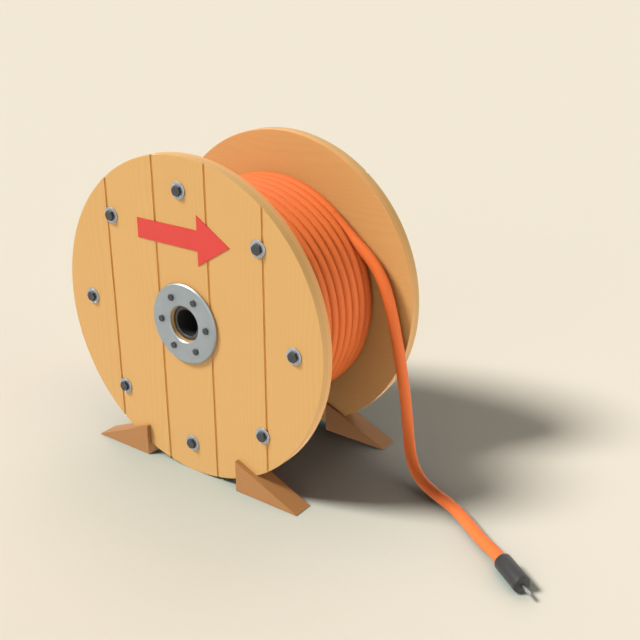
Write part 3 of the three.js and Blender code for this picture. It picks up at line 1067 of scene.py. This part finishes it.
# ---- Axle tube ----
# A grey steel tube, 68 mm thick with an 8 mm wall, lines the bore from one flange to the other.
# Its ends stop 3 mm inside the faces.
tube_outer = 0.034
tube_inner = 0.026
tube_end = 0.156
tube_round = 0.0015
tube_sides = 72

tube_steel = steel(
    "tube_steel", (0.085, 0.088, 0.090, 1), (0.060, 0.062, 0.064, 1),
    smooth=0.30, rough=0.45, metallic=0.6,
)
tube_profile = []
for radius, end, first in [
    (tube_inner + tube_round, -1, 180), (tube_outer - tube_round, -1, 270),
    (tube_outer - tube_round, 1, 0), (tube_inner + tube_round, 1, 90),
]:
    tube_profile += rounded(
        (radius, end * (tube_end - tube_round)), tube_round, 5, first, first + 90
    )
tube = turned_piece(
    "spindle_tube", tube_profile, tube_sides, on_axle(0), Vector((0, 1, 0)), tube_steel
)
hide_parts("axle_tube")
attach(tube, "root")


# ---- Chocks ----
# Four wedges of darker wood lie on the floor with the rim of a flange standing in a slot in each
# one. They keep the drum from rolling either way.
chock_near = 0.11655
chock_length = 0.1455
chock_height = 0.065
chock_nose = 0.0015
chock_outside = outer_face + 0.0098
chock_inside = outer_face - flange_thickness - 0.0060
chock_ease = 0.0006
slot_gap = 0.0006
slot_sides = 240

chock_wood = wooden(
    "chock_wood", (0.410, 0.188, 0.063, 1), (0.320, 0.135, 0.042, 1), contrast=0.25, seed=31.0,
    turn_grain=(0, math.pi / 2, 0), width=0.2,
)[0]
chock_far = chock_near + chock_length
chock_outline = [
    (chock_near, 0), (chock_far, 0), (chock_far, chock_nose), (chock_near, chock_height),
]
slot_bottom = flange_radius + slot_gap
slot_end = flange_thickness + slot_gap
rim_in_slot = [(0, -slot_gap), (slot_bottom, -slot_gap), (slot_bottom, slot_end), (0, slot_end)]


def drawn_along(outline, start, end):
    """A mesh with that outline in X and Z at both ends of its way along Y, and its end face."""
    mesh = bmesh.new()
    ends = [[mesh.verts.new((x, y, z)) for x, z in outline] for y in (start, end)]
    bridge(mesh, ends[0], ends[1])
    mesh.faces.new(ends[0])
    end_face = mesh.faces.new(ends[1])
    bmesh.ops.recalc_face_normals(mesh, faces=mesh.faces)
    return mesh, end_face


def cut_away(piece, cutter):
    """The piece with the cutter's shape taken out of it."""
    modifier = piece.modifiers.new("slot", "BOOLEAN")
    modifier.object = cutter
    modifier.operation = "DIFFERENCE"
    modifier.solver = "EXACT"
    depsgraph = bpy.context.evaluated_depsgraph_get()
    cut = bpy.data.meshes.new_from_object(piece.evaluated_get(depsgraph), depsgraph=depsgraph)
    piece.modifiers.clear()
    piece.data = cut
    return creased(piece, angle=30)


for side, label in ((-1, "front"), (1, "rear")):
    rim = turned_piece(
        f"{label}_rim_cutter", rim_in_slot, slot_sides,
        on_axle(side * outer_face), Vector((0, -side, 0)), chock_wood,
    )
    for hand, hand_label in ((-1, "left"), (1, "right")):
        mesh = drawn_along(
            [(hand * x, z) for x, z in chock_outline], side * chock_inside, side * chock_outside
        )[0]
        long_edges = [edge for edge in mesh.edges if edge.calc_length() > 2 * chock_nose]
        bmesh.ops.bevel(
            mesh, geom=long_edges, offset=chock_ease, segments=2, affect="EDGES",
            clamp_overlap=True,
        )
        wedge = cut_away(finished(f"{label}_{hand_label}_wedge", mesh, chock_wood), rim)
        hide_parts(f"{label}_{hand_label}_chock")
        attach(wedge, "root")
    bpy.data.objects.remove(rim)


# ---- Direction arrow ----
# A plain red arrow on the front flange shows which way the drum is rolled. It is a sheet 1.5 mm
# thick, painted, and fixed over the joints of the boards.
arrow_tail = -0.109
arrow_shoulder = 0.040
arrow_tip = 0.1155
shaft_half = 0.01925
head_half = 0.04725
arrow_middle = axle_height + 0.1676
arrow_thickness = 0.0015
arrow_ease = 0.0004

arrow_paint, tree, shader = new_material("arrow_paint")
where = add_node(tree, "ShaderNodeTexCoord").outputs["Object"]
fade = noise(tree, where, 16.0, detail=5.0)
brush = add_node(tree, "ShaderNodeMapping", {"Vector": where, "Scale": (30.0, 400.0, 400.0)})
strokes = noise(tree, brush.outputs[0], 1.0)
faded_red = mixed(tree, fade, (0.657, 0.043, 0.032, 1), (0.592, 0.038, 0.028, 1))
dull = spread(tree, fade, 0.42, 0.60)
coat(tree, shader, faded_red, dull, strokes, strength=0.12, distance=0.0002)

arrow_outline = [
    (arrow_tail, -shaft_half), (arrow_shoulder, -shaft_half), (arrow_shoulder, -head_half),
    (arrow_tip, 0),
    (arrow_shoulder, head_half), (arrow_shoulder, shaft_half), (arrow_tail, shaft_half),
]
mesh, front_face = drawn_along(
    [(x, arrow_middle + z) for x, z in arrow_outline], -outer_face, -outer_face - arrow_thickness
)
bmesh.ops.bevel(
    mesh, geom=list(front_face.edges), offset=arrow_ease, segments=2, affect="EDGES"
)
sign = finished("arrow", mesh, arrow_paint, crease=20)
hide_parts("direction_arrow")
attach(sign, "root")


# ---- Floor and light ----
# A wide cream floor and no walls. A key light stands high on the left in front and a wide one
# behind. Four low ones round the drum light its sides and hardly any of the floor, which casts
# no shadow, so they reach the undersides.
floor_half = 60
open_cream = (0.766, 0.697, 0.573, 1)
painted_shade_green = (0.240, 0.375, 0.349, 1)
shelter_reach = 0.45
backdrop_cream = (0.888, 0.807, 0.665, 1)


def mirrored_once(tree, ray):
    """Whether a ray is mirrored and has met nothing dull on its way."""
    mirrored = maths(tree, "MAXIMUM", ray["Is Glossy Ray"], ray["Is Transmission Ray"])
    seen_directly = maths(tree, "LESS_THAN", ray["Diffuse Depth"], 0.5)
    return maths(tree, "MULTIPLY", mirrored, seen_directly)


def shown_as(tree, output, share, plain, other):
    """Puts out the plain shader, and the other one where the share is 1."""
    either = add_node(tree, "ShaderNodeMixShader", {0: share, 1: plain, 2: other})
    tree.links.new(either.outputs[0], tree.nodes[output].inputs["Surface"])


floor_data = bpy.data.meshes.new("floor")
corners = [(floor_half * x, floor_half * y, 0) for x, y in [(-1, -1), (1, -1), (1, 1), (-1, 1)]]
floor_data.from_pydata(corners, [], [(0, 1, 2, 3)])
floor = stand("floor", floor_data)
floor.visible_shadow = False
floor_cream, tree, shader = new_material("floor_cream")
# Painted shade: near the drum the floor is darker and cooler, against the warm light off the drum.
open_sky = add_node(tree, "ShaderNodeAmbientOcclusion", {"Distance": shelter_reach}).outputs["AO"]
floor_tone = mixed(tree, open_sky, painted_shade_green, open_cream)
tree.links.new(floor_tone, shader.inputs["Base Color"])
shader.inputs["Roughness"].default_value = 0.9
shader.inputs["Specular IOR Level"].default_value = 0.0
lit_floor = add_node(tree, "ShaderNodeEmission", {"Color": backdrop_cream, "Strength": 1.0})
mirrored = mirrored_once(tree, add_node(tree, "ShaderNodeLightPath").outputs)
shown_as(tree, "Material Output", mirrored, shader.outputs[0], lit_floor.outputs[0])
floor.data.materials.append(floor_cream)

# Heading, height and width in degrees, bounces, and strength. Only the key light's light bounces.
for label, heading, height, width, bounces, strength in [
    ("key_light", -137.5, 48, 16, 4, 3.72),
    ("back_light", 120, 35, 70, 0, 0.95),
    ("right_light", 10, -3, 60, 0, 1.7),
    ("front_light", -80, 2, 60, 0, 0.94),
    ("left_light", -170, -25, 60, 0, 0.4),
    ("rear_light", 100, -25, 60, 0, 1.0),
]:
    light = stand(label, bpy.data.lights.new(label, "SUN"))
    light.data.angle = math.radians(width)
    light.data.energy = strength
    light.data.cycles.max_bounces = bounces
    light.data.cycles.use_multiple_importance_sampling = False
    light.rotation_euler = (math.radians(90 - height), 0, math.radians(heading + 90))

# Rays to the eye and mirrored rays see a pale backdrop. It puts hardly any light on the drum.
world = bpy.data.worlds.new("world")
world.use_nodes = True
tree = world.node_tree
backdrop = add_node(tree, "ShaderNodeBackground", {"Color": backdrop_cream, "Strength": 1.0})
room = add_node(tree, "ShaderNodeBackground", {"Color": (1, 1, 1, 1), "Strength": 0.02})
ray = add_node(tree, "ShaderNodeLightPath").outputs
to_backdrop = maths(tree, "MAXIMUM", ray["Is Camera Ray"], mirrored_once(tree, ray))
shown_as(tree, "World Output", to_backdrop, room.outputs[0], backdrop.outputs[0])
tree.nodes.remove(tree.nodes["Background"])
bpy.context.scene.world = world
bpy.context.scene.view_settings.view_transform = "Standard"
